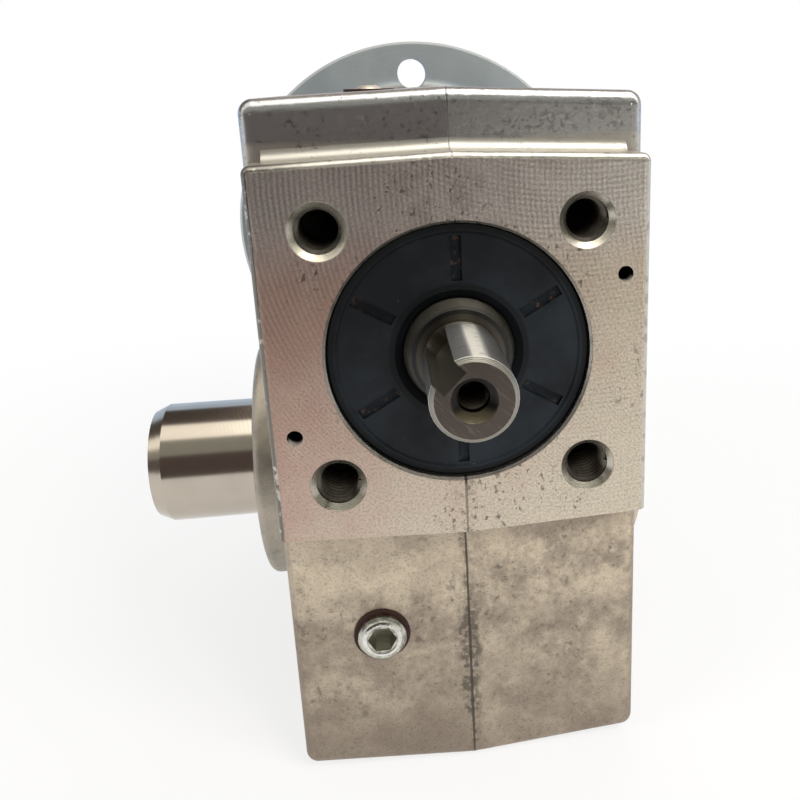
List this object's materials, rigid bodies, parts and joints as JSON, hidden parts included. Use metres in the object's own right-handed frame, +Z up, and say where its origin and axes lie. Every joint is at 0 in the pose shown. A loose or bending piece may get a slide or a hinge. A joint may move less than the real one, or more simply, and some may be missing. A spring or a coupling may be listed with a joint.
{
  "type": "worm gear reducer",
  "caption": "Right-angle worm gear reducer: a drafted cast housing with a keyed input shaft end, a motor flange behind and a hollow cross output shaft.",
  "frame": {"origin": "middle of the output bore, where the output axis crosses the parting plane of the housing", "axes": "+X along the output shaft, away from the plain stub; +Y along the worm towards the motor flange; +Z up, from the wheel to the worm"},
  "size_m": [0.1288, 0.1907, 0.1517],
  "materials": {
    "cast_case": "die-cast, weathered, machined on the front face",
    "cast_flange": "die-cast, bluish grey",
    "shaft_steel": "ground",
    "bearing_steel": "polished",
    "spring_steel": "blackened",
    "screw_steel": "zinc plated, dulled",
    "plug_steel": "dulled",
    "bronze": "machined",
    "seal_rubber": "matte black",
    "ring_rubber": "aged brown",
    "gasket_fibre": "matte"
  },
  "bodies": {
    "gearbox": {"housing": "cast_case", "side_cover": "cast_case", "side_cover_ring": "seal_rubber", "side_cover_screws": "screw_steel", "motor_bell": "cast_flange", "motor_bell_gasket": "gasket_fibre", "motor_bell_screws": "screw_steel", "front_seal": "seal_rubber", "rear_seal": "seal_rubber", "left_seal": "seal_rubber", "right_seal": "seal_rubber", "front_circlip": "spring_steel", "rear_circlip": "spring_steel", "front_oil_plug": "plug_steel", "front_plug_ring": "ring_rubber", "top_oil_plug": "plug_steel", "top_plug_ring": "ring_rubber", "front_bearing_outer_ring": "bearing_steel", "rear_bearing_outer_ring": "bearing_steel", "left_bearing_outer_ring": "bearing_steel", "right_bearing_outer_ring": "bearing_steel"},
    "worm": {"worm_shaft": "shaft_steel", "front_bearing_inner_ring": "bearing_steel", "rear_bearing_inner_ring": "bearing_steel"},
    "output": {"output_shaft": "shaft_steel", "worm_wheel_rim": "bronze", "wheel_rim_screws": "screw_steel", "left_bearing_inner_ring": "bearing_steel", "right_bearing_inner_ring": "bearing_steel"},
    "front_ball_set": {"front_bearing_balls": "bearing_steel", "front_bearing_cage": "bronze"},
    "rear_ball_set": {"rear_bearing_balls": "bearing_steel", "rear_bearing_cage": "bronze"},
    "left_ball_set": {"left_bearing_balls": "bearing_steel", "left_bearing_cage": "bronze"},
    "right_ball_set": {"right_bearing_balls": "bearing_steel", "right_bearing_cage": "bronze"}
  },
  "joints": [
    {"name": "worm_spin", "type": "hinge", "parent": "gearbox", "child": "worm", "pos_m": [0, 0, 0.04], "axis": [0, 1, 0], "continuous": true},
    {"name": "output_spin", "type": "hinge", "parent": "gearbox", "child": "output", "pos_m": [0, 0, 0], "axis": [1, 0, 0], "continuous": true},
    {"name": "front_ball_set_spin", "type": "hinge", "parent": "gearbox", "child": "front_ball_set", "pos_m": [0, 0, 0.04], "axis": [0, 1, 0], "continuous": true},
    {"name": "rear_ball_set_spin", "type": "hinge", "parent": "gearbox", "child": "rear_ball_set", "pos_m": [0, 0, 0.04], "axis": [0, 1, 0], "continuous": true},
    {"name": "left_ball_set_spin", "type": "hinge", "parent": "gearbox", "child": "left_ball_set", "pos_m": [0, 0, 0], "axis": [1, 0, 0], "continuous": true},
    {"name": "right_ball_set_spin", "type": "hinge", "parent": "gearbox", "child": "right_ball_set", "pos_m": [0, 0, 0], "axis": [1, 0, 0], "continuous": true}
  ],
  "couplings": [
    {"joint": "output_spin", "follows": "worm_spin", "ratio": 0.033333},
    {"joint": "front_ball_set_spin", "follows": "worm_spin", "ratio": 0.38358},
    {"joint": "rear_ball_set_spin", "follows": "worm_spin", "ratio": 0.41765},
    {"joint": "left_ball_set_spin", "follows": "worm_spin", "ratio": 0.014416},
    {"joint": "right_ball_set_spin", "follows": "worm_spin", "ratio": 0.014416}
  ]
}
